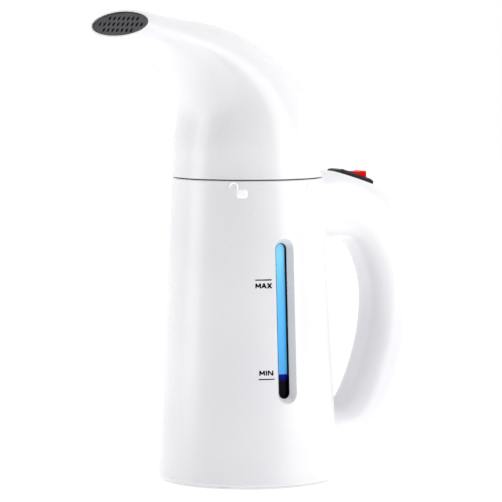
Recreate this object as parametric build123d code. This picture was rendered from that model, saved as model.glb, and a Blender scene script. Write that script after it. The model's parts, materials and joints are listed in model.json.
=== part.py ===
from build123d import *
import math
import os

# A hand-held garment steamer. Origin at the centre of the base, on the surface it stands on.
# +Z is up, the nozzle points to -X, the handle is on +X, and the water window is on -Y.
# All sizes are in millimetres.

# ---- body and handle
BASE_R = 48.0          # casing radius at the table
TOP_R = 40.0           # casing radius at the seam below the head
SEAM_Z = 161.0         # height of that seam
SEAM_GAP = 0.7         # open gap between casing and head
WALL = 2.4             # casing wall
EDGE_R = 1.6           # rounding of the casing's lower edge
SEAM_EDGE = 0.5        # chamfer of the casing's upper edge
FOOT_H = 1.2           # the feet lift the casing by this much
GRIP_OUT = 36.9        # from the base radius to the middle of the grip
GRIP_T = 26.3          # grip thickness, in the plane of the handle
GRIP_W = 30.0          # grip width, across the handle
GRIP_CORNER = 10.5     # rounding of the handle's section
ARM_DEPTH = 36.2       # depth of the upper arm where it meets the body
HEAD_CLEAR = 0.6       # room left round the head where the handle rises past the seam

# ---- base
COVER_T = 2.2
COVER_RECESS = 0.4     # the cover lies this far inside the casing's lower edge
VENTS = 3              # cooling slots either side of the middle one
VENT_L = 16.0
VENT_W = 1.6
VENT_STEP = 4.0
FIT = 0.2              # gap between pieces that are fitted together
FOOT_OUT_R = 32.5      # the foot is one rubber ring
FOOT_IN_R = 27.0
FOOT_SEAT = 0.8        # depth of its groove in the cover
COUNTERSINK = 1.3      # depth of the base screws' recesses
BASE_SCREW_L = 9.0
BOSS_R = 3.6
BOSS_TOP = 24.0        # the base screws' bosses end at this height
PILOT_SKIN = 4.0       # and their holes this far below that
BOSS_SPREAD = 38.0
RIB_T = 3.0
RIB_IN = 36.2          # the tank's ribs start at this radius

# ---- tank and heater
TANK_GAP = 5.0         # air between casing and tank
TANK_WALL = 2.0
TANK_Z = 34.0          # underside of the tank
TANK_FLOOR = 2.5
HEATER_HOLE_R = 25.0
PLATE_R = 29.8
PLATE_T = 2.6
GASKET_T = 1.5
ELEMENT_R = 20.0       # centre line of the heating element's loop
ELEMENT_TUBE_R = 3.3
ELEMENT_GAP = 40.0     # the loop is open over this angle
PIN_DROP = 12.0        # the loop's cold pins reach this far down
CLAMP_R = 35.2
CLAMP_T = 2.4
CLAMP_SCREW_R = 32.6
CLAMP_BOSS_R = 2.2
CLAMP_PILOT_R = 1.0
THERMOSTAT_R = 8.0
THERMOSTAT_H = 8.0
FUSE_R = 2.0
FUSE_L = 11.0

# ---- collar and bayonet
FLANGE_T = 3.0         # collar flange, held in a groove of the casing
FLANGE_DROP = 6.5      # from the seam down to the underside of that flange
GROOVE_RIB = 2.2       # the two ribs that make the groove
GROOVE_R = 34.8
MOUTH_R = 28.0         # bore of the filling mouth
SPIGOT_R = 31.4
SPIGOT_H = 8.0         # the spigot stands this far above the seam
LIP_R = 34.0
LIP_T = 2.8
LIP_ARC = 46.0
LUG_ARC = 46.0
LUGS = 3
LUG_T = 3.0
RING_R = 35.8
SLACK = 0.4            # gap between pieces that move past each other

# ---- head
HEAD_WALL = 2.2
NOZZLE_X = 74.7        # centre of the nozzle face, forward of the body's axis
NOZZLE_RISE = 80.7     # the same point, above the seam
NOZZLE_TILT = 31.0     # the face looks this much above the horizontal, in degrees
NOZZLE_W = 69.0
NOZZLE_T = 16.6
NOZZLE_SET = 0.7       # the plate lies this far inside the rim
NOZZLE_RIM = 1.0       # and the rim round it is this thin
NOZZLE_PLATE_T = 2.0
NOZZLE_GASKET_T = 1.5
GASKET_LIP = (1.6, 3.0)   # the gasket's width at its sides and at its ends
HOLE_R = 1.25
HOLE_STEP = 5.6
HOLE_ROW = 3.5
HOLES = 10             # in the middle row
FLOOR_RISE = 11.0      # underside of the head floor above the seam
HEAD_FLOOR_T = 2.5
DUCT_R = 16.0
DUCT_WALL = 1.2
DUCT_SIZES = ((22, 34), (17, 38), (13, 42), (11, 44), (9, 48))   # depth and width at its stations
SEAL_IN = 0.3          # the seal is this much narrower than the rim, each side
HEAD_SCREW_R = 33.8
HEAD_SCREW_L = 10.0
HEAD_BOSS_H = 14.0
HEAD_WEB = 12.0        # the boss's web reaches this far out, to the wall
HEAD_SCREW_HEAD_R = 2.4
HEAD_SCREW_HEAD_H = 1.2
BAFFLE_DROP = 7.0
BAFFLE_R = 24.0
BAFFLE_T = 1.2
BAFFLE_HOLE_R = 1.6

# ---- water window: a well with sloping walls, a black surround at its foot and a blue lens
WINDOW_W = 11.5
WINDOW_H = 86.5
WINDOW_Z = 87.2        # middle of the window
WELL_DEPTH = 4.0
WELL_SLOPE = 33.0      # the well's walls lean in by this angle
WELL_WALL = 1.5
SURROUND_IN = 0.25     # the black surround shows this far inside the well's foot
SURROUND_LAP = 1.6     # and reaches this far behind the well
SURROUND_T = 1.9
LENS_LAP = 0.8         # the lens reaches this far behind the surround
LENS_T = 1.2

# ---- switch
SWITCH_X = 62.1
SWITCH_SLOPE = 18.0    # the switch's seat falls this much towards +X, in degrees
SEAT_DROP = 2.9        # the seat's centre lies this far below the seam
BEZEL_L = 21.0
BEZEL_W = 15.0
BEZEL_T = 2.9
BEZEL_BEVEL = (1.0, 1.35)   # down and in from its top edges
HOUSING_L = 18.8
HOUSING_W = 12.8
HOUSING_H = 14.0
HOUSING_WALL = 1.0
OPENING_L = 17.9
ROCKER_L = 16.4
ROCKER_W = 10.0
ROCKER_TOP = 6.4       # top edges above the pivot
ROCKER_HOLLOW = 1.0
ROCKER_DRAFT = 0.9
ROCKER_TILT = 13.0     # the rocker rests this far either side of level
PIVOT_DROP = 1.5       # rocker pivot below the seat
PIN_R = 1.15
PIN_GAP = 0.06
PLUNGER_R = 1.3
PLUNGER_TOP = 2.0      # the plunger's bore ends this far above the pivot
PLUNGER_REACH = 7.4    # from the pivot to the plunger's tip
CONTACT_RATIO = 0.5    # the contact tilts this much of the rocker's tilt
CONTACT_L = 12.0
CONTACT_T = 0.8
BLADE_W = 4.8
BLADE_T = 0.8
BLADE_H = 8.0
BLADE_STEP = 5.0

# ---- cord inlet and fasteners
GLAND_BORE_R = 3.6
GLAND_R = 5.2
GLAND_L = 14.0
GLAND_FLANGE_R = 7.4
GLAND_FLANGE_T = 1.5
GLAND_PROUD = 0.5
TERMINAL_X = 14.0
TERMINAL_W = 10.0
TERMINAL_H = 10.0
TERMINAL_STEP = 7.0
BOSS_IN = 2.5          # the handle's screws lie this far inside its centre line
WIRE_LANE = 9.0        # the handle's wires keep this far from the middle plane
WIRE_OUT = 5.5         # and this far outside the handle's centre line
SCREW_R = 1.4
SCREW_HEAD_R = 2.8
SCREW_HEAD_H = 2.0
SCREW_SINK = 4.0       # the casing screws' heads seat this far inside the handle's +Y side
PILOT_L = 10.0         # depth of their pilot holes past the split
WIRE_R = 1.1

BOTTOM = (Align.CENTER, Align.CENTER, Align.MIN)
TOP = (Align.CENTER, Align.CENTER, Align.MAX)
FROM_EDGE = (Align.MIN, Align.CENTER, Align.MIN)
FAR = 400.0            # larger than the object


# ---------------------------------------------------------------- shapes used by several pieces
def body_r(z, inset=0.0):
    """Radius of the tapered body at a height, moved in by an inset."""
    return BASE_R + (TOP_R - BASE_R) * z / SEAM_Z - inset


def taper(z0, z1, inset=0.0):
    """Frustum that follows the body's taper between two heights."""
    return Pos(0, 0, z0) * Cone(body_r(z0, inset), body_r(z1, inset), z1 - z0, align=BOTTOM)


def disc(radius, z0, z1):
    return Pos(0, 0, z0) * Cylinder(radius, z1 - z0, align=BOTTOM)


def ring(outer, inner, z0, z1):
    return disc(outer, z0, z1) - disc(inner, z0 - 1, z1 + 1)


def arc_block(outer, inner, z0, z1, centre, width):
    """Part of a ring, width degrees wide about the direction centre."""
    section = Plane.XZ * Pos((outer + inner) / 2, (z0 + z1) / 2) * Rectangle(outer - inner, z1 - z0)
    return Rot(0, 0, centre - width / 2) * revolve(section, Axis.Z, revolution_arc=width)


def around(count, start=0.0):
    """Directions, in degrees, evenly spaced round the axis."""
    return [start + i * 360.0 / count for i in range(count)]


def at(radius, angle, z=0.0):
    """Place at a radius and a direction from the body's axis."""
    return Rot(0, 0, angle) * Pos(radius, 0, z)


def screw(length, shank_r=SCREW_R, head_r=SCREW_HEAD_R, head_h=SCREW_HEAD_H):
    """Pan-head screw with a cross recess: the head's seat is at z=0 and the shank points down."""
    head = Cylinder(head_r, head_h, align=BOTTOM)
    head = fillet(head.edges().sort_by(Axis.Z)[-1], head_h * 0.4)
    slot = Box(head_r * 1.2, shank_r * 0.5, head_h, align=BOTTOM)
    cross = Pos(0, 0, head_h * 0.45) * (slot + Rot(0, 0, 90) * slot)
    return head - cross + Pos(0, 0, -length) * Cylinder(shank_r, length, align=BOTTOM)


def wire(points, radius=WIRE_R):
    """Round wire along straight runs that are joined by tangent arcs."""
    runs = [math.dist(a, b) for a, b in zip(points, points[1:])]
    radii = []
    for i in range(1, len(points) - 1):
        back = Vector(*points[i]) - Vector(*points[i - 1])
        ahead = Vector(*points[i + 1]) - Vector(*points[i])
        turn = math.radians(back.get_angle(ahead))
        radii.append(0.45 * min(runs[i - 1], runs[i]) / math.tan(turn / 2))
    path = FilletPolyline(*points, radius=radii)
    start = Plane(origin=points[0], z_dir=Vector(*points[1]) - Vector(*points[0]))
    return sweep(start * Circle(radius), path=path)


# ---------------------------------------------------------------- handle
def handle_stations():
    """Stations along the handle: x, z, thickness, width, from the seam round to the base."""
    grip = BASE_R + GRIP_OUT
    arm_z = SEAM_Z - 16.1
    low = 28.5
    mid = (arm_z + low) / 2
    return [
        (TOP_R - 10.0, arm_z + 0.6, ARM_DEPTH, GRIP_W + 6.0),
        (TOP_R + 10.0, arm_z, ARM_DEPTH, GRIP_W + 1.0),
        (grip - 20.9, arm_z - 3.4, ARM_DEPTH - 2.2, GRIP_W),
        (grip - 9.4, arm_z - 13.9, ARM_DEPTH - 5.2, GRIP_W),
        (grip - 2.4, arm_z - 31.9, GRIP_T + 1.2, GRIP_W),
        (grip, mid + 5.3, GRIP_T, GRIP_W),
        (grip - 2.9, low + 41.5, GRIP_T - 1.3, GRIP_W),
        (grip - 9.2, low + 21.0, GRIP_T - 1.3, GRIP_W),
        (grip - 21.9, low, GRIP_T - 2.3, GRIP_W + 1.0),
        (BASE_R, low - 10.5, GRIP_T + 6.0, GRIP_W + 5.0),
        (BASE_R - 18.0, low - 14.5, GRIP_T + 7.7, GRIP_W + 10.0),
    ]


def handle_plane(i):
    """Plane across the handle at a station: local x points out of the loop, local y along -Y."""
    stations = handle_stations()
    before = stations[max(i - 1, 0)]
    after = stations[min(i + 1, len(stations) - 1)]
    along = Vector(after[0] - before[0], 0, after[1] - before[1]).normalized()
    out = Vector(-along.Z, 0, along.X)
    return Plane(origin=(stations[i][0], 0, stations[i][1]), x_dir=out, z_dir=along)


def handle_body(inset=0.0):
    """The handle's loop, lofted through its stations and moved in by an inset."""
    sections = []
    for i, (_, _, thick, wide) in enumerate(handle_stations()):
        outline = RectangleRounded(thick - 2 * inset, wide - 2 * inset, GRIP_CORNER - inset)
        sections.append(handle_plane(i) * outline)
    return loft(sections)


def handle_point(i, out=0.0, y=0.0, along=0.0):
    """Point beside the handle's centre line at a station."""
    plane = handle_plane(i)
    spot = plane.origin + plane.x_dir * out + plane.z_dir * along
    return (spot.X, y, spot.Z)


# ---------------------------------------------------------------- switch seat
def seat_plane():
    """Plane of the switch's seat: local x runs down the slope, local z points out."""
    slope = math.radians(SWITCH_SLOPE)
    return Plane(
        origin=(SWITCH_X, 0, SEAM_Z - SEAT_DROP),
        x_dir=(math.cos(slope), 0, -math.sin(slope)),
        z_dir=(math.sin(slope), 0, math.cos(slope)),
    )


# ---------------------------------------------------------------- casing
def window_plane():
    """Plane that lies on the casing's wall at the window: local x is up the wall, local z points out."""
    lean = math.atan2(BASE_R - TOP_R, SEAM_Z)
    return Plane(
        origin=(0, -body_r(WINDOW_Z), WINDOW_Z),
        x_dir=(0, math.sin(lean), math.cos(lean)),
        z_dir=(0, -math.cos(lean), math.sin(lean)),
    )


def window_slab(margin, top, thickness):
    """Slab with round ends: the well's foot grown by a margin, from a depth down."""
    narrow = 2 * WELL_DEPTH * math.tan(math.radians(WELL_SLOPE)) - 2 * margin
    outline = SlotOverall(WINDOW_H - narrow, WINDOW_W - narrow)
    return window_plane() * Pos(0, 0, -top - thickness) * extrude(outline, thickness)


def window_well(margin):
    """The well's sloping space, grown by a margin, from just outside the casing to its foot."""
    above = 0.5
    grow = 2 * above * math.tan(math.radians(WELL_SLOPE)) + 2 * margin
    outline = Pos(0, 0, above) * SlotOverall(WINDOW_H + grow, WINDOW_W + grow)
    return window_plane() * extrude(outline, -above - WELL_DEPTH, taper=WELL_SLOPE)


def flange_z():
    """Heights of the collar flange's underside and top."""
    low = SEAM_Z - FLANGE_DROP
    return low, low + FLANGE_T


def screw_spots():
    """Places of the screws that join the casing halves, as x and z."""
    return [handle_point(i, out=-BOSS_IN, along=a)[::2] for i, a in ((4, -5.0), (7, -8.0), (9, -9.0))]


def gland_plane():
    """Plane of the cord gland on the handle's lower back: local z points out of the casing."""
    mid = handle_plane(7)
    low = handle_plane(8)
    a = mid.origin + mid.x_dir * (handle_stations()[7][2] / 2)
    b = low.origin + low.x_dir * (handle_stations()[8][2] / 2)
    out = Vector(a.Z - b.Z, 0, b.X - a.X).normalized()
    return Plane(origin=(a + b) * 0.5, x_dir=(0, 1, 0), z_dir=out)


def casing_outside():
    cone = taper(FOOT_H, SEAM_Z - SEAM_GAP)
    cone = fillet(cone.edges().sort_by(Axis.Z)[0], EDGE_R)
    cone = chamfer(cone.edges().sort_by(Axis.Z)[-1], SEAM_EDGE)
    whole = cone + handle_body()
    below = Pos(0, 0, FOOT_H) * Box(FAR, FAR, FAR, align=TOP)
    above_seat = seat_plane() * Box(BEZEL_L * 2, FAR, FAR, align=BOTTOM)
    room = disc(TOP_R + HEAD_CLEAR, SEAM_Z - SEAM_GAP, SEAM_Z + 60)
    return whole - below - above_seat - room


def casing_ribs():
    """Groove for the collar, bosses for the base screws and ribs that the tank stands on."""
    low, high = flange_z()
    parts = [
        taper(low - GROOVE_RIB, low, WALL / 2) - disc(GROOVE_R, 0, FAR),
        taper(high, high + GROOVE_RIB, WALL / 2) - disc(GROOVE_R, 0, FAR),
    ]
    z0 = FOOT_H + COVER_RECESS + COVER_T
    for angle in around(4, 45):
        parts.append(at(BOSS_SPREAD, angle, z0) * Cylinder(BOSS_R, BOSS_TOP - z0, align=BOTTOM))
        length = BASE_R - RIB_IN
        rib = Box(length, RIB_T, TANK_Z - z0, align=FROM_EDGE)
        parts.append((at(RIB_IN, angle, z0) * rib) & taper(FOOT_H, SEAM_Z - SEAM_GAP, WALL / 2))
    for x, z in screw_spots():
        boss = Pos(x, 0, z) * Rot(90, 0, 0) * Cylinder(BOSS_R, GRIP_W - WALL)
        parts.append(boss)
    return parts


def casing_whole():
    hollow = taper(FOOT_H - 1, SEAM_Z + 1, WALL) + handle_body(WALL)
    hollow -= seat_plane() * Pos(0, 0, -WALL) * Box(BEZEL_L * 2, FAR, FAR, align=BOTTOM)
    shell = casing_outside() - hollow
    for rib in casing_ribs():
        shell += rib
    for angle in around(4, 45):
        shell -= at(BOSS_SPREAD, angle) * Cylinder(SCREW_R - FIT, BOSS_TOP - PILOT_SKIN, align=BOTTOM)
    shell += window_well(WELL_WALL) & taper(0, SEAM_Z - 5, WALL / 2)
    shell -= window_well(0.0)
    shell -= seat_plane() * Box(HOUSING_L + 2 * FIT, HOUSING_W + 2 * FIT, 3 * WALL)
    shell -= gland_plane() * Cylinder(GLAND_R + FIT / 2, GLAND_L * 2)
    return shell


def casing_half(shell, side):
    """One half of the casing: side is -1 for -Y and +1 for +Y."""
    align = (Align.CENTER, Align.MIN if side > 0 else Align.MAX, Align.CENTER)
    half = shell & Box(FAR, FAR, 2 * FAR, align=align)
    for x, z in screw_spots():
        through = Pos(x, 0, z) * Rot(-90, 0, 0)
        if side > 0:
            recess = Cylinder(SCREW_HEAD_R + 0.3, GRIP_W, align=BOTTOM)
            half -= through * Cylinder(SCREW_R + FIT, GRIP_W, align=BOTTOM)
            half -= through * Pos(0, 0, GRIP_W / 2 - SCREW_SINK) * recess
        else:
            half -= through * Pos(0, 0, 1 - PILOT_L) * Cylinder(SCREW_R - FIT, PILOT_L, align=BOTTOM)
    return half


def casing_screws():
    seat = GRIP_W / 2 - SCREW_SINK
    one = Rot(-90, 0, 0) * screw(seat + PILOT_L - 2.5, SCREW_R - FIT)
    return [Pos(x, seat, z) * one for x, z in screw_spots()]


# ---------------------------------------------------------------- base
def base_cover():
    """Bottom cover with a groove for the foot ring, screw recesses and cooling slots."""
    z0 = FOOT_H + COVER_RECESS
    cover = disc(body_r(z0 + COVER_T, WALL + FIT), z0, z0 + COVER_T)
    for angle in around(4, 45):
        cover -= at(BOSS_SPREAD, angle) * Cylinder(SCREW_R + 0.2, FAR, align=BOTTOM)
        cover -= at(BOSS_SPREAD, angle) * Cylinder(SCREW_HEAD_R + 0.3, z0 + COUNTERSINK, align=BOTTOM)
    cover -= ring(FOOT_OUT_R + 0.1, FOOT_IN_R - 0.1, z0 - 1, z0 + FOOT_SEAT)
    for i in range(-VENTS, VENTS + 1):
        cover -= Pos(0, i * VENT_STEP, z0 - 1) * extrude(SlotOverall(VENT_L, VENT_W), COVER_T + 2)
    return cover


def base_screws():
    z = FOOT_H + COVER_RECESS + COUNTERSINK
    one = Rot(180, 0, 0) * screw(BASE_SCREW_L, SCREW_R - FIT, head_h=COUNTERSINK - FIT)
    return [at(BOSS_SPREAD, angle, z) * one for angle in around(4, 45)]


def foot_ring():
    return ring(FOOT_OUT_R, FOOT_IN_R, 0, FOOT_H + COVER_RECESS + FOOT_SEAT)


# ---------------------------------------------------------------- tank and heater
def water_tank():
    low, _ = flange_z()
    outside = taper(TANK_Z, low, WALL + TANK_GAP)
    inside = taper(TANK_Z + TANK_FLOOR, low + 1, WALL + TANK_GAP + TANK_WALL)
    tank = outside - inside - disc(HEATER_HOLE_R, TANK_Z - 1, TANK_Z + TANK_FLOOR + 1)
    z = heater_z()[0]
    for angle in around(4):
        tank += at(CLAMP_SCREW_R, angle, z) * Cylinder(CLAMP_BOSS_R, TANK_Z - z, align=BOTTOM)
        tank -= at(CLAMP_SCREW_R, angle, z) * Cylinder(CLAMP_PILOT_R, TANK_Z - z, align=BOTTOM)
    return tank


def heater_z():
    """Heights of the heater plate's underside and top."""
    top = TANK_Z - GASKET_T
    return top - PLATE_T, top


def heater_plate():
    low, high = heater_z()
    well = disc(HEATER_HOLE_R - 1, low, TANK_Z)
    return disc(PLATE_R, low, high) + well


def heater_gasket():
    return ring(PLATE_R, HEATER_HOLE_R - 1 + FIT, TANK_Z - GASKET_T, TANK_Z)


def heating_element():
    """Loop of sheathed tube below the plate, open towards +Y, with a cold pin at each end."""
    z = heater_z()[0] - ELEMENT_TUBE_R
    loop = Pos(0, 0, z) * Torus(ELEMENT_R, ELEMENT_TUBE_R)
    loop -= arc_block(ELEMENT_R * 2, 1.0, z - 9, z + 9, 90, ELEMENT_GAP)
    for angle in element_ends():
        loop += at(ELEMENT_R, angle, z) * Sphere(ELEMENT_TUBE_R)
        loop += at(ELEMENT_R, angle, z - PIN_DROP) * Cylinder(WIRE_R, PIN_DROP, align=BOTTOM)
    return loop


def element_ends():
    return (90 - ELEMENT_GAP / 2, 90 + ELEMENT_GAP / 2)


def heater_clamp():
    low = heater_z()[0]
    clamp = ring(CLAMP_R, PLATE_R - 3, low - CLAMP_T, low)
    for angle in around(4):
        clamp -= at(CLAMP_SCREW_R, angle) * Cylinder(SCREW_R, FAR, align=BOTTOM)
    return clamp


def clamp_screws():
    z = heater_z()[0] - CLAMP_T
    return [
        at(CLAMP_SCREW_R, a, z) * Rot(180, 0, 0) * screw(CLAMP_T + 3.0, CLAMP_PILOT_R, 2.2, 1.5) for a in around(4)
    ]


def thermostat():
    top = heater_z()[0]
    body = disc(THERMOSTAT_R, top - THERMOSTAT_H, top)
    for y in (-4, 4):
        body += Pos(0, y, top - THERMOSTAT_H - 6) * Box(4, BLADE_T, 6, align=BOTTOM)
    return body


def thermal_fuse():
    z = heater_z()[0] - FUSE_R
    fuse = Pos(0, -THERMOSTAT_R - FUSE_R - 1.5, z) * Rot(0, 90, 0) * Cylinder(FUSE_R, FUSE_L)
    lead = Pos(0, -THERMOSTAT_R - FUSE_R - 1.5, z) * Rot(0, 90, 0) * Cylinder(0.5, FUSE_L + 8)
    return fuse + lead


# ---------------------------------------------------------------- collar and bayonet
def lip_z():
    top = SEAM_Z + SPIGOT_H
    return top - LIP_T, top


def lug_z():
    top = lip_z()[0] - SLACK
    return top - LUG_T, top


def tank_collar():
    low, high = flange_z()
    tank_in = body_r(low, WALL + TANK_GAP + TANK_WALL)
    collar = ring(body_r(high, WALL + FIT), MOUTH_R, low, high)
    collar += ring(SPIGOT_R, MOUTH_R, low, SEAM_Z + SPIGOT_H)
    collar += ring(tank_in - FIT, MOUTH_R, low - 5, low)
    for angle in around(LUGS):
        collar += arc_block(LIP_R, SPIGOT_R - 0.5, *lip_z(), angle, LIP_ARC)
    return collar


def bayonet_ring():
    z0 = SEAM_Z + 0.9
    collar = ring(RING_R, LIP_R + SLACK, z0, SEAM_Z + FLOOR_RISE - 1.6)
    for angle in around(LUGS):
        collar += arc_block(LIP_R + SLACK + 0.5, SPIGOT_R + SLACK, *lug_z(), angle, LUG_ARC)
    return collar


# ---------------------------------------------------------------- head
def head_stations():
    """Stations along the head: x, z, tilt of the section, depth, width, from the seam to the nozzle."""
    s = SEAM_Z
    nx = -NOZZLE_X
    nz = s + NOZZLE_RISE
    d = 2 * TOP_R
    return [
        (0.0, s, 0.0, d, d),
        (-0.9, s + 19.0, 6.0, d - 3.0, d - 2.6),
        (-5.2, s + 35.5, 19.0, d - 11.0, d - 8.0),
        (-14.6, s + 50.0, 35.0, d - 25.0, d - 15.5),
        (-28.2, s + 61.8, 52.0, d - 39.5, d - 21.5),
        (-43.6, s + 70.6, 64.0, NOZZLE_T + 9.6, d - 23.5),
        (nx + 15.5, nz - 4.6, 68.0, NOZZLE_T + 3.0, NOZZLE_W - 7.0),
        (nx, nz, 90.0 - NOZZLE_TILT, NOZZLE_T, NOZZLE_W),
    ]


def head_plane(station):
    """Plane across the head at a station: local x points up and back, local z along the head."""
    x, z, tilt, _, _ = station
    t = math.radians(tilt)
    across = (math.cos(t), 0, math.sin(t))
    along = (-math.sin(t), 0, math.cos(t))
    return Plane(origin=(x, 0, z), x_dir=across, z_dir=along)


def horn(inset, first=0, last=None):
    """The head's curved body, lofted through its stations and moved in by an inset."""
    sections = []
    for station in head_stations()[first:last]:
        depth, wide = station[3:]
        sections.append(head_plane(station) * Ellipse(depth / 2 - inset, wide / 2 - inset))
    return loft(sections)


def nozzle_plane(depth=0.0):
    """Plane of the nozzle face, moved into the head by a depth."""
    plane = head_plane(head_stations()[-1])
    return plane.offset(-depth)


def nozzle_slab(depth, thickness):
    """Everything between two depths behind the nozzle face."""
    return nozzle_plane(depth) * Box(NOZZLE_T * 2, NOZZLE_W * 2, thickness, align=TOP)


def level_slab(low, high):
    """Everything between two heights."""
    return Pos(0, 0, low) * Box(FAR, FAR, high - low, align=BOTTOM)


def head_shell():
    shell = horn(0.0) - horn(HEAD_WALL) - (horn(NOZZLE_RIM) & nozzle_slab(-1, NOZZLE_SET + NOZZLE_PLATE_T + 1))
    z = SEAM_Z + FLOOR_RISE + HEAD_FLOOR_T
    for angle in around(3, 60):
        boss = at(HEAD_SCREW_R, angle, z) * Cylinder(BOSS_R, HEAD_BOSS_H, align=BOTTOM)
        web = at(HEAD_SCREW_R, angle, z) * Box(HEAD_WEB, RIB_T, HEAD_SCREW_L, align=FROM_EDGE)
        shell += (boss + web) & horn(HEAD_WALL / 2)
    for angle in around(3, 60):
        shell -= at(HEAD_SCREW_R, angle, z) * Cylinder(SCREW_R - FIT, HEAD_SCREW_L, align=BOTTOM)
    return shell - level_slab(SEAM_Z - 1, SEAM_Z + 0.001)


def duct_z():
    """Height at which the steam duct stands on the floor's collar."""
    return SEAM_Z + FLOOR_RISE + HEAD_FLOOR_T + 2.0


def head_floor():
    """Floor of the head: it carries the seal below, the baffle in the middle and the duct above."""
    z = SEAM_Z + FLOOR_RISE
    floor = horn(HEAD_WALL) & level_slab(z, z + HEAD_FLOOR_T)
    floor += disc(DUCT_R, z, duct_z())
    floor -= disc(DUCT_R - DUCT_WALL, z - 1, duct_z() + 1)
    for angle in around(3, 60):
        floor -= at(HEAD_SCREW_R, angle) * Cylinder(SCREW_R + 0.2, FAR, align=BOTTOM)
    return floor


def head_screws():
    z = SEAM_Z + FLOOR_RISE
    one = Rot(180, 0, 0) * screw(HEAD_SCREW_L, SCREW_R - FIT, HEAD_SCREW_HEAD_R, HEAD_SCREW_HEAD_H)
    return [at(HEAD_SCREW_R, angle, z) * one for angle in around(3, 60)]


def head_seal():
    """Silicone ring under the head floor, just above the rim of the filling mouth."""
    return ring(SPIGOT_R - SEAL_IN, MOUTH_R + SEAL_IN, SEAM_Z + SPIGOT_H + SLACK - 0.1, SEAM_Z + FLOOR_RISE)


def splash_baffle():
    z = SEAM_Z + FLOOR_RISE
    baffle = disc(BAFFLE_R, z - BAFFLE_DROP, z - BAFFLE_DROP + BAFFLE_T)
    for radius, count in ((6.0, 6), (12.0, 12), (18.0, 18)):
        for angle in around(count, 10):
            baffle -= at(radius, angle) * Cylinder(BAFFLE_HOLE_R, FAR, align=BOTTOM)
    for angle in around(3):
        post = Cylinder(BAFFLE_HOLE_R, BAFFLE_DROP, align=BOTTOM)
        baffle += at(BAFFLE_R - 3.5, angle, z - BAFFLE_DROP) * post
    return baffle


def duct_loft(inset):
    """The flattening duct from the head floor to the nozzle, moved in by an inset."""
    sections = [Plane.XY.offset(duct_z()) * Ellipse(DUCT_R - inset, DUCT_R - inset - 0.01)]
    for station, (deep, wide) in zip(head_stations()[2:7], DUCT_SIZES):
        sections.append(head_plane(station) * Ellipse(deep / 2 - inset, wide / 2 - inset))
    end = NOZZLE_SET + NOZZLE_PLATE_T + NOZZLE_GASKET_T + 1.0
    deep = NOZZLE_T / 2 - HEAD_WALL - 1.5
    wide = NOZZLE_W / 2 - HEAD_WALL - 6.5
    sections.append(nozzle_plane(end) * Ellipse(deep - inset, wide - inset))
    return loft(sections)


def steam_duct():
    return duct_loft(0.0) - duct_loft(DUCT_WALL)


def hole_places():
    """Places of the steam holes on the nozzle plate: staggered rows inside the oval."""
    places = []
    for row in (-1, 0, 1):
        count = HOLES if row == 0 else HOLES - 1
        for i in range(count):
            places.append((row * HOLE_ROW, (i - (count - 1) / 2) * HOLE_STEP))
    edge_x = NOZZLE_T / 2 - HEAD_WALL - HOLE_R - 0.4
    edge_y = NOZZLE_W / 2 - HEAD_WALL - HOLE_R - 1.2
    return [(x, y) for x, y in places if (x / edge_x) ** 2 + (y / edge_y) ** 2 <= 1.0]


def nozzle_plate():
    plate = horn(NOZZLE_RIM + FIT / 4) & nozzle_slab(NOZZLE_SET, NOZZLE_PLATE_T)
    for x, y in hole_places():
        plate -= nozzle_plane() * Pos(x, y) * Cylinder(HOLE_R, 20)
    return plate


def nozzle_gasket():
    outside = horn(HEAD_WALL + FIT / 4) & nozzle_slab(NOZZLE_SET + NOZZLE_PLATE_T, NOZZLE_GASKET_T)
    outline = Ellipse(NOZZLE_T / 2 - HEAD_WALL - GASKET_LIP[0], NOZZLE_W / 2 - HEAD_WALL - GASKET_LIP[1])
    bore = nozzle_plane() * extrude(outline, -20)
    return outside - bore


# ---------------------------------------------------------------- water window
def window_surround():
    """Black ring behind the well's foot."""
    band = window_slab(SURROUND_LAP, WELL_DEPTH, SURROUND_T)
    return band - window_slab(-SURROUND_IN, WELL_DEPTH - 1, SURROUND_T + 2)


def window_lens():
    """Blue light guide behind the surround."""
    return window_slab(LENS_LAP, WELL_DEPTH + SURROUND_T, LENS_T)


def lamp_place():
    return -(body_r(TANK_Z, WALL + TANK_GAP / 2))


def indicator_board():
    return Pos(0, lamp_place() + 4.5, TANK_Z - 12) * Box(12, 13, 1.2, align=BOTTOM)


def indicator_lamp():
    z = TANK_Z - 10.8
    stem = Pos(0, lamp_place(), z) * Cylinder(1.5, 5, align=BOTTOM)
    dome = Pos(0, lamp_place(), z + 5) * Sphere(1.5)
    return stem + dome


# ---------------------------------------------------------------- cord inlet and wiring
def cord_gland():
    """Flush sleeve in the handle's lower back, with a flange behind the wall."""
    inner = WALL + 0.8
    sleeve = Pos(0, 0, -GLAND_L + GLAND_PROUD) * Cylinder(GLAND_R, GLAND_L, align=BOTTOM)
    sleeve += Pos(0, 0, -inner - GLAND_FLANGE_T) * Cylinder(GLAND_FLANGE_R, GLAND_FLANGE_T, align=BOTTOM)
    sleeve -= Pos(0, 0, -GLAND_L * 2) * Cylinder(GLAND_BORE_R, GLAND_L * 4, align=BOTTOM)
    return gland_plane() * sleeve


def terminal_place():
    return TERMINAL_X, FOOT_H + COVER_RECESS + COVER_T


def terminal_block():
    x, z = terminal_place()
    block = Pos(x, 0, z) * Box(TERMINAL_W, 3 * TERMINAL_STEP, TERMINAL_H, align=BOTTOM)
    for row in (-1, 0, 1):
        y = row * TERMINAL_STEP
        block -= Pos(x, y, z + TERMINAL_H / 2) * Rot(0, 90, 0) * Cylinder(WIRE_R + 0.2, TERMINAL_W + 2)
        block -= Pos(x, y, z + TERMINAL_H / 2) * Cylinder(SCREW_R, TERMINAL_H, align=BOTTOM)
    return block


def blade_tip(u):
    """Lower end of a switch blade."""
    plane = seat_plane()
    return plane.origin + plane.x_dir * u - plane.z_dir * (HOUSING_H + BLADE_H)


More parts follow.
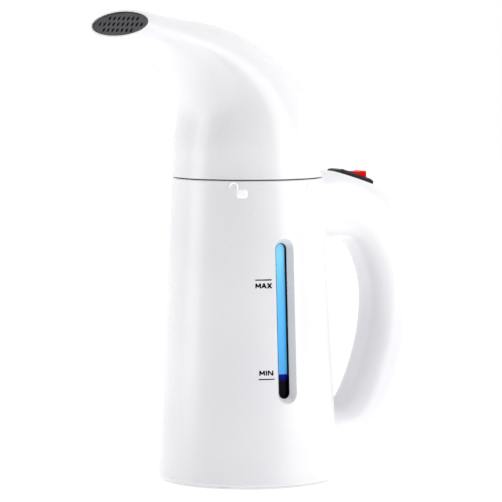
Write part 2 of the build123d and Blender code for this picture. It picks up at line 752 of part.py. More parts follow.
def switch_wires():
    """Two wires from the terminal block, up the handle, to the switch's outer blades."""
    x, z = terminal_place()
    out = seat_plane().z_dir
    wires = []
    for side, u in ((-1, -BLADE_STEP), (1, BLADE_STEP)):
        tip = blade_tip(u)
        start = x + TERMINAL_W / 2
        lane = side * WIRE_LANE
        points = [(start, side * TERMINAL_STEP, z + TERMINAL_H / 2)]
        points.append((start + 12.0, side * TERMINAL_STEP, z + TERMINAL_H / 2 + 1.0))
        for i in (9, 8, 7, 6, 5, 4):
            points.append(handle_point(i, out=WIRE_OUT, y=lane))
        points.append(handle_point(3, out=1.0, y=lane * 0.6))
        points.append((tip.X + 8.0 - out.X * 5, lane * 0.3, tip.Z - out.Z * 5 - 0.5))
        points.append((tip.X - out.X * 5, 0.0, tip.Z - out.Z * 5))
        points.append((tip.X, 0.0, tip.Z))
        wires.append(wire(points))
    return wires


def heater_wires():
    """Two wires from the terminal block to the pins of the heating element."""
    x, z = terminal_place()
    mid = z + TERMINAL_H / 2
    start = x - TERMINAL_W / 2
    pin_z = heater_z()[0] - ELEMENT_TUBE_R - PIN_DROP
    wires = []
    for angle, row in zip(element_ends(), (1, 0)):
        px = ELEMENT_R * math.cos(math.radians(angle))
        py = ELEMENT_R * math.sin(math.radians(angle))
        y = row * TERMINAL_STEP
        points = [
            (start, y, mid),
            (start - 6.0, y + 0.5, mid),
            (px - 3.0, (y + py) / 2, mid - 1.0),
            (px, py, mid - 0.5),
            (px, py, pin_z),
        ]
        wires.append(wire(points))
    return wires


# ---------------------------------------------------------------- switch
def tilted(plane, angle):
    """The same plane, turned so that its +x end rises by an angle."""
    t = math.radians(angle)
    x_dir = plane.x_dir * math.cos(t) + plane.z_dir * math.sin(t)
    z_dir = plane.z_dir * math.cos(t) - plane.x_dir * math.sin(t)
    return Plane(origin=plane.origin, x_dir=x_dir, z_dir=z_dir)


def rocker_plane():
    """Plane at the rocker's pivot, at the rocker's resting tilt."""
    return tilted(seat_plane().offset(-PIVOT_DROP), ROCKER_TILT)


def contact_drop():
    """Depth of the contact's underside below the rocker's pivot."""
    return PLUNGER_REACH + SLACK + CONTACT_T


def contact_plane():
    """Plane at the contact's pivot, at the contact's resting tilt."""
    return tilted(seat_plane().offset(-PIVOT_DROP - contact_drop()), -ROCKER_TILT * CONTACT_RATIO)


def switch_housing():
    """Black bezel with the switch's body in one piece, open at the top."""
    bezel = Box(BEZEL_L, BEZEL_W, BEZEL_T, align=BOTTOM)
    top = bezel.faces().sort_by(Axis.Z)[-1]
    bezel = chamfer(top.edges(), *BEZEL_BEVEL)
    body = Pos(0, 0, -HOUSING_H) * Box(HOUSING_L, HOUSING_W, HOUSING_H, align=BOTTOM)
    inside_w = ROCKER_W + 2 * SLACK
    opening = Pos(0, 0, -PIVOT_DROP * 2) * Box(OPENING_L, inside_w, FAR, align=BOTTOM)
    room = Box(HOUSING_L - 2 * HOUSING_WALL, inside_w, HOUSING_H - HOUSING_WALL, align=BOTTOM)
    shell = bezel + body - opening - Pos(0, 0, HOUSING_WALL - HOUSING_H) * room
    shell -= Pos(0, 0, -PIVOT_DROP) * Rot(90, 0, 0) * Cylinder(PIN_R + PIN_GAP, HOUSING_W * 2)
    for u in (-BLADE_STEP, 0.0, BLADE_STEP):
        shell -= Pos(u, 0, -HOUSING_H - 1) * Box(BLADE_T, BLADE_W, HOUSING_WALL + 2, align=BOTTOM)
    return seat_plane() * shell


def switch_rocker():
    """Red rocker with a shallow hollow top, its two pins, and a bore for the plunger."""
    half = ROCKER_L / 2
    edge = half - ROCKER_DRAFT
    with BuildPart() as rocker:
        with BuildSketch(Plane.XZ):
            with BuildLine():
                ThreePointArc((-edge, ROCKER_TOP), (0, ROCKER_TOP - ROCKER_HOLLOW), (edge, ROCKER_TOP))
                Polyline(
                    (edge, ROCKER_TOP), (half, -0.8), (half - 1.8, -1.6), (2.6, -3.0),
                    (-2.6, -3.0), (1.8 - half, -1.6), (-half, -0.8), (-edge, ROCKER_TOP),
                )
            make_face()
        extrude(amount=ROCKER_W / 2, both=True)
    body = rocker.part
    body = fillet(body.edges().filter_by(Axis.Y).sort_by(Axis.Z)[-2:], 0.5)
    body += Rot(90, 0, 0) * Cylinder(PIN_R, HOUSING_W - 2 * FIT)
    body -= Pos(0, 0, -FAR + PLUNGER_TOP) * Cylinder(PLUNGER_R + 0.1, FAR, align=BOTTOM)
    return rocker_plane() * body


def switch_plunger():
    tip = PLUNGER_R - PLUNGER_REACH
    rod = Pos(0, 0, tip) * Cylinder(PLUNGER_R, -tip, align=BOTTOM) + Pos(0, 0, tip) * Sphere(PLUNGER_R)
    return rocker_plane() * rod


def switch_spring():
    """Stand-in for the small coil spring above the plunger: a thin sleeve of its size."""
    coil = Cylinder(PLUNGER_R - 0.1, PLUNGER_TOP, align=BOTTOM)
    coil -= Cylinder(PLUNGER_R - 0.6, PLUNGER_TOP * 4)
    return rocker_plane() * coil


def switch_contact():
    plate = Box(CONTACT_L, BLADE_W, CONTACT_T, align=BOTTOM)
    return contact_plane() * plate


def switch_terminals():
    """Middle blade that carries the contact, and two outer blades with fixed contacts."""
    drop = PIVOT_DROP + contact_drop()
    dip = BLADE_STEP * math.sin(math.radians(ROCKER_TILT * CONTACT_RATIO)) + SLACK
    blades = []
    for u, top in ((-BLADE_STEP, drop + dip), (0.0, drop + SLACK), (BLADE_STEP, drop + dip)):
        low = HOUSING_H + BLADE_H
        blades.append(seat_plane() * Pos(u, 0, -low) * Box(BLADE_T, BLADE_W, low - top, align=BOTTOM))
    return blades


# ---------------------------------------------------------------- everything
def nodes():
    """Every node's solids, by name."""
    shell = casing_whole()
    return {
        "casing_left": casing_half(shell, -1),
        "casing_right": casing_half(shell, 1),
        "casing_screws": casing_screws(),
        "base_cover": base_cover(),
        "base_screws": base_screws(),
        "foot_ring": foot_ring(),
        "window_surround": window_surround(),
        "window_lens": window_lens(),
        "indicator_board": indicator_board(),
        "indicator_lamp": indicator_lamp(),
        "water_tank": water_tank(),
        "tank_collar": tank_collar(),
        "heater_plate": heater_plate(),
        "heater_gasket": heater_gasket(),
        "heating_element": heating_element(),
        "heater_clamp": heater_clamp(),
        "clamp_screws": clamp_screws(),
        "thermostat": thermostat(),
        "thermal_fuse": thermal_fuse(),
        "terminal_block": terminal_block(),
        "switch_wires": switch_wires(),
        "heater_wires": heater_wires(),
        "cord_gland": cord_gland(),
        "bayonet_ring": bayonet_ring(),
        "head_shell": head_shell(),
        "head_floor": head_floor(),
        "head_screws": head_screws(),
        "head_seal": head_seal(),
        "splash_baffle": splash_baffle(),
        "steam_duct": steam_duct(),
        "nozzle_gasket": nozzle_gasket(),
        "nozzle_plate": nozzle_plate(),
        "switch_housing": switch_housing(),
        "switch_rocker": switch_rocker(),
        "switch_plunger": switch_plunger(),
        "switch_spring": switch_spring(),
        "switch_contact": switch_contact(),
        "switch_terminals": switch_terminals(),
    }


os.makedirs("parts", exist_ok=True)
for name, shape in nodes().items():
    solids = shape if isinstance(shape, list) else [shape]
    export_step(Compound(children=[s for piece in solids for s in piece.solids()]), f"parts/{name}.step")
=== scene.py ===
# %% [markdown]
# # A hand-held garment steamer
#
# The steamer is a white jug with a handle on one side and a steam horn on top. Its moving parts
# and its screws come from a CAD frame, which is loaded first and never moved. This notebook adds
# what CAD leaves out: the printed level marks, the raised padlocks, and a real finish on every
# surface. Lengths in the cells are in millimetres, and become metres when a mesh is made.

# %% Load the frame
import json
import math

import bpy
import numpy as np
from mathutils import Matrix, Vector


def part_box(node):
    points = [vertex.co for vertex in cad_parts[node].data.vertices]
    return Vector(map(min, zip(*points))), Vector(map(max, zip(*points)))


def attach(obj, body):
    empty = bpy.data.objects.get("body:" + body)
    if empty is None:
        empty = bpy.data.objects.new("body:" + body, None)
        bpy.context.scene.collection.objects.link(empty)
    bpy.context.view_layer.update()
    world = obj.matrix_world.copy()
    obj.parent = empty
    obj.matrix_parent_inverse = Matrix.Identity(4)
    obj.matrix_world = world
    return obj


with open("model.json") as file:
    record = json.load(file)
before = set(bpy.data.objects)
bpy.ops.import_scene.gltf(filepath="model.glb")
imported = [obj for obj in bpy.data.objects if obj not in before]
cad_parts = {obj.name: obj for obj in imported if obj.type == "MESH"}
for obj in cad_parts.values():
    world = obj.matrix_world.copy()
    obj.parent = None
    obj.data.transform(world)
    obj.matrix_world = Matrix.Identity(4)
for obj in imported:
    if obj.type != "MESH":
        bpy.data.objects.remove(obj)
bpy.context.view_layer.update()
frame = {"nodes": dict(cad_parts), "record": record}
nodes = frame["nodes"]
MM = 1000.0

# %% [markdown]
# ## Tools for the finishes
#
# A finish is a small network of nodes, and writing one out node by node is long. Every finish
# here is built with the same four tools: one turns an sRGB hex value into the linear colour that
# the shader wants, one links nodes, one adds a node with its settings, values and links, and one
# starts a material. The studio's white room uses them too.

# %% Colour and node helpers
def linear(code):
    """sRGB hex to linear RGBA: each channel c goes to ((c + 0.055) / 1.055) ** 2.4 above 0.04045."""
    c = np.array([int(code[i : i + 2], 16) for i in (1, 3, 5)]) / 255
    c = np.where(c <= 0.04045, c / 12.92, ((c + 0.055) / 1.055) ** 2.4)
    return (*c.tolist(), 1.0)


def feed(tree, node, links):
    """Links sources to a node's inputs. A source is a socket, or a node read from its first output."""
    for key, source in links.items():
        socket = source.outputs[0] if isinstance(source, bpy.types.Node) else source
        tree.links.new(socket, node.inputs[key])


def add(tree, kind, links=None, settings=None, stops=(), **values):
    """Adds a node: links feed its inputs, settings are its properties, stops are the places and
    hex colours of a colour ramp, and values are its inputs by name."""
    node = tree.nodes.new(kind)
    for key, value in (settings or {}).items():
        setattr(node, key, value)
    for key, value in values.items():
        node.inputs[key.replace("_", " ")].default_value = value
    while stops and len(node.color_ramp.elements) < len(stops):
        node.color_ramp.elements.new(0.5)
    for i, (position, code) in enumerate(stops):
        element = node.color_ramp.elements[i]
        element.position, element.color = position, linear(code)
    feed(tree, node, links or {})
    return node


def start(name, **values):
    """A new material with its tree, its Principled shader with inputs set by name, and the
    coordinates of its object in metres."""
    material = bpy.data.materials.new(name)
    material.use_nodes = True
    tree = material.node_tree
    shader = tree.nodes["Principled BSDF"]
    for key, value in values.items():
        shader.inputs[key.replace("_", " ")].default_value = value
    return material, tree, shader, add(tree, "ShaderNodeTexCoord").outputs["Object"]


print("white ABS in linear light:", np.round(linear("#E2E2E6"), 3))

# %% [markdown]
# ## Camera and studio
#
# A long lens from well back keeps the jug's sides nearly parallel, as in a catalogue view. The
# camera could be placed by hand, but an azimuth, a distance and an aim point are easier to
# reason about, so its position is worked out from those. The aim point is a little to the right
# of the jug's axis and just above its middle.

# %% Camera
AZIMUTH = math.radians(-27.5)
DISTANCE, CAMERA_Z = 1700.0, 248.0
AIM_RIGHT, AIM_Z = 1.86, 121.0
LENS, SENSOR = 230.0, 36.0

right = np.array([math.cos(AZIMUTH), math.sin(AZIMUTH), 0.0])
away = np.array([math.sin(AZIMUTH), -math.cos(AZIMUTH), 0.0])
aim = right * AIM_RIGHT + np.array([0.0, 0.0, AIM_Z])
eye = aim + away * DISTANCE
eye[2] = CAMERA_Z

camera = bpy.data.objects.new("camera", bpy.data.cameras.new("camera"))
bpy.context.scene.collection.objects.link(camera)
camera.data.lens, camera.data.sensor_width = LENS, SENSOR
camera.data.clip_start, camera.data.clip_end = 0.1, 20.0
camera.location = eye / MM
camera.rotation_euler = Vector(aim - eye).to_track_quat("-Z", "Y").to_euler()
bpy.context.scene.camera = camera
print("camera at", (eye / MM).round(3))

# %% [markdown]
# A white product on white needs dark as well as light, or its shape disappears. Two tall soft
# boxes stand beside the jug and brighten its edges, and a wide one lights it from overhead. The
# side of the room that the jug's front faces is left darker, as if by a grey card, and that gives
# the soft grey band down the middle of the body. Cards could be modelled, but a room whose white
# falls off smoothly towards one direction does the same with nothing extra in the scene.

# %% Lights
LIGHT_AIM = Vector((0, 0, 0.12))


def soft_box(name, azimuth, distance, height, wide, tall, watts):
    """A rectangular area light that stands at an azimuth round the jug and faces its middle."""
    light = bpy.data.lights.new(name, "AREA")
    light.shape, light.size, light.size_y, light.energy = "RECTANGLE", wide, tall, watts
    box = bpy.data.objects.new(name, light)
    bpy.context.scene.collection.objects.link(box)
    turn = math.radians(azimuth)
    box.location = (math.sin(turn) * distance, -math.cos(turn) * distance, height)
    box.rotation_euler = (LIGHT_AIM - box.location).to_track_quat("-Z", "Y").to_euler()


soft_box("left_box", -108, 1.1, 0.35, 0.5, 1.2, 4.0)
soft_box("right_box", 35, 1.1, 0.40, 0.6, 1.2, 5.5)
soft_box("top_box", 20, 0.6, 2.6, 3.6, 3.6, 14.0)

# %% White room
CARD_AZIMUTH = math.radians(-42)
CARD_LIGHT, ROOM_LIGHT = 0.16, 1.0

world = bpy.data.worlds.new("white_room")
world.use_nodes = True
tree = world.node_tree
card = (math.sin(CARD_AZIMUTH), -math.cos(CARD_AZIMUTH), 0.0)
direction = add(tree, "ShaderNodeTexCoord").outputs["Generated"]
facing = add(tree, "ShaderNodeVectorMath", {0: direction}, {"operation": "DOT_PRODUCT"})
facing.inputs[1].default_value = card
fall = add(
    tree, "ShaderNodeMapRange", {"Value": facing.outputs["Value"]},
    {"interpolation_type": "SMOOTHSTEP"},
    From_Min=-0.2, From_Max=0.9, To_Min=ROOM_LIGHT, To_Max=CARD_LIGHT,
)
feed(tree, tree.nodes["Background"], {"Strength": fall})
tree.nodes["Background"].inputs["Color"].default_value = (1, 1, 1, 1)
bpy.context.scene.world = world
bpy.context.scene.view_settings.view_transform = "Standard"
print("room light from", CARD_LIGHT, "to", ROOM_LIGHT)

# %% [markdown]
# ## Moulded plastics
#
# Most of the steamer is injection-moulded. A moulding is never quite flat or quite even: it
# carries the very fine grain of its tool, a slow waviness where the wall shrank as it cooled, and
# a gloss that changes a little from place to place. One function makes that from a few numbers,
# so each plastic differs in colour, gloss, grain size and grain depth, as the real ones do. The
# values are written for each real material, and a grain too fine to show is drawn a little coarse.

# %% Moulded plastic
WAVE_SIZE, WAVE_DEPTH = 25.0, 0.02
GLOSS_SPREAD = 0.04


def moulded(name, low, high, gloss, grain, depth, **values):
    """A moulded plastic: colour between two hex values, roughness within GLOSS_SPREAD of gloss, a
    tool grain in millimetres with its depth, and a slow waviness."""
    material, tree, shader, place = start(name, **values)
    slow = add(tree, "ShaderNodeTexNoise", {"Vector": place},
               Scale=MM / WAVE_SIZE / 2, Detail=1.0, Roughness=0.55)
    fine = add(tree, "ShaderNodeTexNoise", {"Vector": place},
               Scale=MM / grain / 2, Detail=3.0, Roughness=0.55)
    colour = add(tree, "ShaderNodeValToRGB", {"Fac": slow}, stops=[(0.3, low), (0.7, high)])
    rough = add(tree, "ShaderNodeMapRange", {"Value": fine}, From_Min=0.3, From_Max=0.7,
                To_Min=gloss - GLOSS_SPREAD, To_Max=gloss + GLOSS_SPREAD)
    wave = add(tree, "ShaderNodeBump", {"Height": slow}, Strength=1.0, Distance=WAVE_DEPTH / MM)
    skin = add(tree, "ShaderNodeBump", {"Height": fine, "Normal": wave},
               Strength=1.0, Distance=depth / MM)
    feed(tree, shader, {"Base Color": colour, "Roughness": rough, "Normal": skin})
    return material


finishes = {}

# Glossy injection-moulded ABS: near white, with a soft clear highlight. IOR of ABS is 1.54.
finishes["white_abs"] = moulded(
    "abs_white_injection_moulded", "#E2E2E6", "#E8E8EA", 0.24, 0.6, 0.003, IOR=1.54)

# The base cover and gland come from a spark-eroded tool, so the same ABS is matt and a bit darker.
finishes["base_abs"] = moulded(
    "abs_white_spark_textured", "#E4E4E6", "#EBEBEC", 0.5, 0.4, 0.02, IOR=1.54)

# Natural polypropylene: milky and waxy, with light passing a few millimetres into it.
finishes["tank_pp"] = moulded(
    "polypropylene_natural_moulded", "#DDE2E4", "#E8ECED", 0.36, 0.8, 0.006,
    IOR=1.49, Subsurface_Weight=0.35, Subsurface_Scale=0.003)

# Glass-filled nylon: cream, with short fibres that dull its surface.
finishes["bayonet_nylon"] = moulded(
    "nylon_glass_filled_moulded", "#D3D1C6", "#DEDCD2", 0.48, 0.5, 0.012, IOR=1.53)

# The nozzle plate is a dark grey heat-resistant moulding with a satin face.
finishes["nozzle_grey"] = moulded(
    "pps_grey_satin_moulded", "#222326", "#2E2F32", 0.45, 0.5, 0.012,
    IOR=1.6, Specular_IOR_Level=0.2)

# The window's surround is a black ring that stands for the shadow in the gap between the lens and the
# recess floor: painted shade. It is smooth but set to reflect very little.
finishes["window_black"] = moulded(
    "painted_shadow_gap_black", "#020308", "#05060C", 0.3, 0.8, 0.002,
    IOR=1.54, Specular_IOR_Level=0.03)

# Black nylon switch parts: satin, with the tool's fine grain.
finishes["switch_black"] = moulded(
    "nylon_black_satin_moulded", "#0C0D10", "#15161A", 0.34, 0.4, 0.01,
    IOR=1.53, Specular_IOR_Level=0.12)

# The red rocker is polycarbonate dyed right through: a deep and even colour.
finishes["switch_red"] = moulded(
    "polycarbonate_red_polished", "#DC0303", "#E80604", 0.3, 0.8, 0.002,
    IOR=1.58, Specular_IOR_Level=0.02)

# Phenolic bodies of the thermostat and terminal block: near-black and dull.
finishes["control_black"] = moulded(
    "phenolic_black_moulded", "#17130F", "#241E19", 0.5, 0.4, 0.015, IOR=1.6)

# Silicone rubber: off-white, slightly translucent, and greasy rather than shiny.
finishes["silicone"] = moulded(
    "silicone_rubber_moulded", "#CFCFCA", "#DAD9D4", 0.55, 0.5, 0.01,
    IOR=1.41, Subsurface_Weight=0.3, Subsurface_Scale=0.002)

# The foot ring is nitrile rubber, matt and dark, with a blotchy bloom.
finishes["foot_rubber"] = moulded(
    "nitrile_rubber_moulded", "#17171A", "#26262A", 0.78, 0.7, 0.03, IOR=1.52)

# Wires wear a silicone-coated glass braid, drawn as a fine uneven grain.
finishes["wire_sleeve"] = moulded(
    "glass_braid_sleeve", "#C9C4B4", "#E2DECF", 0.62, 0.45, 0.06, IOR=1.5)

# The thermal fuse is glazed steatite.
finishes["fuse_ceramic"] = moulded(
    "steatite_glazed", "#E6E0CF", "#F0EBDD", 0.2, 0.6, 0.004, IOR=1.6)
print("moulded finishes:", len(finishes))

# %% [markdown]
# ## Metals
#
# A metal's look comes almost entirely from its roughness and from the marks that working it left.
# Screws are pressed and zinc-plated, the heater is die-cast, its element is drawn tube, and the
# contacts are rolled strip. Each mark is a noise, drawn out along one axis for drawn and rolled
# stock, and left even for cast and plated stock.

# %% Worked metal
ROUGH_SPREAD = 0.08


def worked(name, low, high, rough, grain, depth, stretch=(1, 1, 1)):
    """A metal whose colour, roughness and relief all follow the marks of its working."""
    material, tree, shader, place = start(name, Metallic=1.0)
    drawn = add(tree, "ShaderNodeMapping", {"Vector": place}, Scale=stretch)
    marks = add(tree, "ShaderNodeTexNoise", {"Vector": drawn},
                Scale=MM / grain / 2, Detail=4.0, Roughness=0.55)
    colour = add(tree, "ShaderNodeValToRGB", {"Fac": marks}, stops=[(0.3, low), (0.7, high)])
    gloss = add(tree, "ShaderNodeMapRange", {"Value": marks}, From_Min=0.3, From_Max=0.7,
                To_Min=rough - ROUGH_SPREAD, To_Max=rough + ROUGH_SPREAD)
    relief = add(tree, "ShaderNodeBump", {"Height": marks}, Strength=1.0, Distance=depth / MM)
    feed(tree, shader, {"Base Color": colour, "Roughness": gloss, "Normal": relief})
    return material


# Zinc plate: a cool grey with cloudy patches.
finishes["screw_steel"] = worked("steel_zinc_plated", "#A9ABAF", "#C3C5C9", 0.3, 0.8, 0.006)
# Die-cast aluminium: pale, granular and soft in its highlights.
finishes["heater_aluminium"] = worked("aluminium_die_cast", "#B9BABC", "#CDCED0", 0.42, 0.5, 0.03)
# Stainless tube: drawn lines a few tenths of a millimetre apart, coarser than real ones.
finishes["heater_steel"] = worked(
    "stainless_steel_drawn", "#8D8C8A", "#A6A5A3", 0.28, 0.3, 0.006, (0.2, 0.2, 2.0))
# Rolled brass strip.
finishes["contact_brass"] = worked(
    "brass_rolled", "#C09A4C", "#D8B566", 0.26, 0.3, 0.005, (0.2, 1.0, 1.0))
print("finishes:", len(finishes))

# %% [markdown]
# ## Water window
#
# The lens is clear acrylic in front of the lit tank. Where there is water the light comes through
# pale blue, brightest at the top and deeper lower down; below the lamp's reach it falls to navy
# and then to black. Colour is a function of height only, so a ramp on the object's own Z gives it
# exactly, and a little emission stands for the light behind.

# %% Lit acrylic
# Heights as shares of the lens, from its foot, with the colour of the light at each.
GLOW = [(0.00, "#010206"), (0.12, "#02030A"), (0.14, "#050A66"), (0.162, "#070E80"),
        (0.168, "#4C9AD2"), (0.35, "#50A6E2"), (0.70, "#5EB2EA"), (1.00, "#7FC9F4")]
lens_low, lens_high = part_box("window_lens")

material, tree, shader, place = start(
    "acrylic_clear_lit_blue", Roughness=0.2, IOR=1.49, Specular_IOR_Level=0.03,
    Emission_Strength=0.45)
axes = add(tree, "ShaderNodeSeparateXYZ", {0: place})
share = add(tree, "ShaderNodeMapRange", {"Value": axes.outputs["Z"]},
            From_Min=float(lens_low[2]), From_Max=float(lens_high[2]), To_Min=0.0, To_Max=1.0)
water = add(tree, "ShaderNodeValToRGB", {"Fac": share}, stops=GLOW)
cast = add(tree, "ShaderNodeTexNoise", {"Vector": place},
           Scale=MM / 12.0 / 2, Detail=1.0, Roughness=0.55)
ripple = add(tree, "ShaderNodeBump", {"Height": cast}, Strength=1.0, Distance=0.02 / MM)
feed(tree, shader, {"Base Color": water, "Emission Color": water, "Normal": ripple})
finishes["window_blue"] = material
print("lens from", round(lens_low[2] * MM, 1), "to", round(lens_high[2] * MM, 1))

# %% [markdown]
# The lamp is a diffused blue epoxy dome, milky and lit from inside: a constant emission over a
# base that clouds a little. Its board is glass cloth in epoxy under a green lacquer. The cloth's
# threads cross at right angles and print through the lacquer, which two crossed sine waves give:
# one for the warp and one for the weft.

# %% Diffused epoxy
material, tree, shader, place = start(
    "epoxy_blue_diffused", Roughness=0.25, IOR=1.53, Emission_Strength=0.6,
    Emission_Color=linear("#6FBBFF"))
cloud = add(tree, "ShaderNodeTexNoise", {"Vector": place},
            Scale=MM / 1.2 / 2, Detail=2.0, Roughness=0.55)
milk = add(tree, "ShaderNodeValToRGB", {"Fac": cloud}, stops=[(0.3, "#5FB0FF"), (0.7, "#8CCBFF")])
feed(tree, shader, {"Base Color": milk})
finishes["lamp_blue"] = material

# %% Glass-fibre board
THREAD_SCALE = 260.0  # the wave repeats every 2 pi / 20 / 260 m, which is 1.2 mm

material, tree, shader, place = start("fr4_board_green_lacquer", Roughness=0.3, IOR=1.52)
warp, weft = [
    add(tree, "ShaderNodeTexWave", {"Vector": place}, {"bands_direction": axis}, Scale=THREAD_SCALE)
    for axis in ("Z", "X")
]
weave = add(tree, "ShaderNodeMath", {0: warp.outputs["Fac"], 1: weft.outputs["Fac"]},
            {"operation": "MULTIPLY"})
lacquer = add(tree, "ShaderNodeValToRGB", {"Fac": weave}, stops=[(0.3, "#0E4426"), (0.7, "#1B6B3E")])
cloth = add(tree, "ShaderNodeBump", {"Height": weave}, Strength=1.0, Distance=0.02 / MM)
feed(tree, shader, {"Base Color": lacquer, "Normal": cloth})
finishes["board_green"] = material
print("finishes:", len(finishes))

# %% [markdown]
# The record names a finish for every node, so a loop hands them out. Only the material changes;
# the node's mesh and place stay as the CAD made them.

# %% Put the finishes on the frame
for part in frame["record"]["subparts"]:
    data = nodes[part["node"]].data
    if not data.materials:
        data.materials.append(None)
    for i in range(len(data.materials)):
        nodes[part["node"]].material_slots[i].material = finishes[part["material_slot"]]

# %% [markdown]
# ## Marks on the body
#
# The level marks are printed in black on the white wall beside the window, and the two padlocks
# below the seam are raised a few tenths of a millimetre in the moulding. Text objects or a decal
# could do this, but both would have to be bent round the tapered wall. Instead every mark is a set
# of strokes drawn flat in millimetres, and one formula lays flat points on the taper, so a line, a
# letter and a padlock are all the same kind of surface.

# %% Flat to wall
BASE_R, TOP_R, SEAM_Z = 48.0, 40.0, 161.0
SUNK = 0.05  # every mark starts this far inside the wall


def on_wall(angle, flat, z, lift):
    """Lays flat points on the tapered wall. The radius r is BASE_R + (TOP_R - BASE_R) z / SEAM_Z
    plus lift, and the turn from -Y towards -X is the angle less flat / r, so flat runs to the
    right as seen from outside."""
    r = BASE_R + (TOP_R - BASE_R) * z / SEAM_Z
    turn = np.radians(angle) - flat / r
    return np.stack([-(r + lift) * np.sin(turn), -(r + lift) * np.cos(turn), z], axis=-1)


def closed_faces(rows, columns, start_at):
    """Quads of a grid whose columns go round, and one face that shuts each end row."""
    i, j = np.meshgrid(np.arange(rows - 1), np.arange(columns), indexing="ij")
    k = (j + 1) % columns
    quads = [i * columns + j, i * columns + k, (i + 1) * columns + k, (i + 1) * columns + j]
    faces = (np.stack(quads).reshape(4, -1).T + start_at).tolist()
    first = start_at + np.arange(columns)
    return faces + [first[::-1].tolist(), (first + (rows - 1) * columns).tolist()]


def piece_from(name, grids, material, body):
    """One smooth-shaded piece from several closed grids of points (rows x columns x 3)."""
    faces, at = [], 0
    for grid in grids:
        faces += closed_faces(*grid.shape[:2], at)
        at += grid.shape[0] * grid.shape[1]
    mesh = bpy.data.meshes.new(name)
    mesh.from_pydata((np.concatenate([g.reshape(-1, 3) for g in grids]) / MM).tolist(), [], faces)
    mesh.polygons.foreach_set("use_smooth", np.ones(len(mesh.polygons), dtype=bool))
    mesh.update()
    mesh.materials.append(material)
    thing = bpy.data.objects.new(name, mesh)
    bpy.context.scene.collection.objects.link(thing)
    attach(thing, body)
    print(name, len(grids), "surfaces,", len(mesh.polygons), "faces")


# %% [markdown]
# A stroke is a bead: half an ellipse carried along a path. Near each end the bead narrows as the
# edge of a circle does, so the ends come out round. Ink is a bead about a tenth of a millimetre
# high, and a moulded line is one of a few tenths.

# %% Beads
def resample(path, count):
    """Points at equal steps along a polyline, and how far along it they are."""
    path = np.asarray(path, float)
    run = np.concatenate([[0], np.cumsum(np.hypot(*np.diff(path, axis=0).T))])
    at = np.linspace(0, run[-1], count)
    return np.stack([np.interp(at, run, path[:, k]) for k in (0, 1)], axis=-1), at


def bead(path, width, height, angle, count=24, sides=9):
    """P(s, t) = C(s) + w(s) cos t N(s), lifted by h(s) sin t, for t from 180 degrees to 0: C is
    the path, N its normal, and w and h shrink to nothing over the last half width of each end."""
    centre, at = resample(path, count)
    along = np.gradient(centre, axis=0)
    along /= np.maximum(np.hypot(*along.T), 1e-9)[:, None]
    normal = np.stack([along[:, 1], -along[:, 0]], axis=-1)
    end = np.clip(np.minimum(at, at[-1] - at) / (width / 2), 0.02, 1.0)
    round_off = np.sqrt(1 - (1 - end) ** 2)[:, None]
    t = np.linspace(np.pi, 0, sides)[None, :]
    flat = centre[:, None, :] + (width / 2 * round_off * np.cos(t))[..., None] * normal[:, None, :]
    return on_wall(angle, flat[..., 0], flat[..., 1], height * round_off * np.sin(t) - SUNK)


# %% [markdown]
# The letters are straight strokes in a cell one unit wide and high. MAX stands just under its
# line, and MIN just over its own.

# %% Level marks
LETTERS = {
    "M": [[(0, 0), (0, 1)], [(0, 1), (0.5, 0.25)], [(0.5, 0.25), (1, 1)], [(1, 1), (1, 0)]],
    "A": [[(0, 0), (0.5, 1)], [(0.5, 1), (1, 0)], [(0.2, 0.35), (0.8, 0.35)]],
    "X": [[(0, 0), (1, 1)], [(0, 1), (1, 0)]],
    "I": [[(0.5, 0), (0.5, 1)]],
    "N": [[(0, 0), (0, 1)], [(0, 1), (1, 0)], [(1, 0), (1, 1)]],
}
LETTER_H, LETTER_W, LETTER_GAP = 2.7, 2.3, 0.7
NARROW = 0.35  # the width of an I, as a share of a letter's
INK_W, INK_H, LINE_W = 0.78, 0.12, 0.62


def word(text, left, low, angle):
    """The beads of a word that starts at left, on a line at height low."""
    beads, x = [], left
    for letter in text:
        across = LETTER_W * (NARROW if letter == "I" else 1.0)
        for stroke in LETTERS[letter]:
            path = [(x + u * across, low + v * LETTER_H) for u, v in stroke]
            beads.append(bead(path, INK_W, INK_H, angle))
        x += across + LETTER_GAP
    return beads


# Black pad-printing ink: matt, very slightly uneven where the pad lifted.
ink = moulded("ink_black_pad_printed", "#060607", "#101011", 0.6, 0.5, 0.004,
              IOR=1.5, Specular_IOR_Level=0.05)


def level_mark(name, text, line, lettering):
    """A level line, given as its angle, height and half length, with its word, given as its
    angle, left end and foot."""
    angle, z, half = line
    turn, left, foot = lettering
    stroke = bead([(-half, z), (half, z)], LINE_W, INK_H, angle)
    piece_from(name, [stroke] + word(text, left, foot, turn), ink, "body")


level_mark("mark_max", "MAX", line=(16.2, 109.0, 4.6), lettering=(16.0, -4.1, 104.6))
level_mark("mark_min", "MIN", line=(14.6, 57.4, 4.4), lettering=(14.6, -3.6, 59.3))

# %% [markdown]
# The padlocks show which way the horn turns: the open one is where it lifts off, and the closed
# one is where it locks. Each is a soft pad with a shackle bead. The pad is a squircle that swells
# towards its middle, which reads as moulded rather than stuck on.

# %% Padlocks
PAD_W, PAD_H, PAD_RISE = 5.8, 4.6, 0.4
SHACKLE_W, SHACKLE_RISE, SHACKLE_FOOT = 0.9, 0.4, 2.1
PADLOCK_Z = 153.6

# White pad-printing ink over the relief: brighter and less glossy than the wall round it.
relief = moulded("ink_white_pad_printed", "#FDFDFD", "#FFFFFF", 0.5, 0.5, 0.004, IOR=1.5)


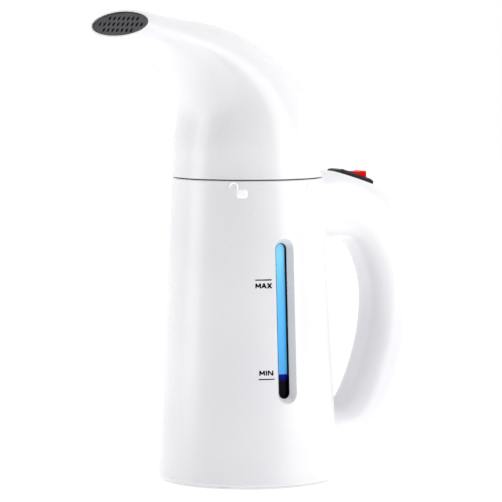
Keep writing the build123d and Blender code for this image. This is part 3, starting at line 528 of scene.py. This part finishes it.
def pad(angle, z0, rings=14, columns=48):
    """A squircle dome: |x / a|^4 + |z / b|^4 = s^4 for s from 1 at the rim to 0 at the middle,
    lifted by PAD_RISE times (1 - s^8)."""
    s = np.linspace(1.0, 0.02, rings)[:, None]
    t = np.linspace(0, 2 * np.pi, columns, endpoint=False)[None, :]
    c, n = np.cos(t), np.sin(t)
    radius = s / (np.abs(c) ** 4 + np.abs(n) ** 4) ** 0.25
    lift = PAD_RISE * (1 - s**8) + 0 * t - SUNK
    return on_wall(angle, PAD_W / 2 * radius * c, z0 + PAD_H / 2 * radius * n, lift)


def shackle(half_wide, rise, leg, swing):
    """A shackle's path from its free end at height leg, over a half circle and down to its foot,
    all moved sideways by swing."""
    t = np.linspace(np.pi, 0, 15)
    x = np.concatenate([[-half_wide], half_wide * np.cos(t), [half_wide]])
    z = np.concatenate([[leg], rise + half_wide * np.sin(t), [0.0]])
    return np.stack([x + swing, z + PADLOCK_Z + SHACKLE_FOOT], axis=-1)


def padlock(name, angle, path):
    """A padlock at an angle round the wall: its pad, and its shackle along a path."""
    ring = bead(path, SHACKLE_W, SHACKLE_RISE, angle, count=40)
    piece_from(name, [pad(angle, PADLOCK_Z), ring], relief, "body")


padlock("padlock_open", 31.5, shackle(2.0, 1.6, 0.9, -4.3))
padlock("padlock_closed", -27.0, shackle(1.75, 1.0, 0.0, 0.0))

# %% [markdown]
# ## Floor
#
# The floor is one plain pale sheet, matt so that it holds no reflection of the jug, with a faint
# paper grain. It glows a little, as an over-lit sweep of paper does, and it lies on the ground
# plane, where the rubber foot rests.

# %% Paper floor
HALF_FLOOR = 3.0

ends = (-HALF_FLOOR, HALF_FLOOR)
corners = [(x, y, 0.0) for y in ends for x in ends]
mesh = bpy.data.meshes.new("floor")
mesh.from_pydata(corners, [], [(0, 1, 3, 2)])
mesh.materials.append(moulded(
    "paper_white_matt", "#FAFAFA", "#FFFFFF", 0.9, 2.0, 0.01,
    Emission_Color=(1, 1, 1, 1), Emission_Strength=0.3))
floor = bpy.data.objects.new("floor", mesh)
bpy.context.scene.collection.objects.link(floor)
print("floor:", 2 * HALF_FLOOR, "m square")
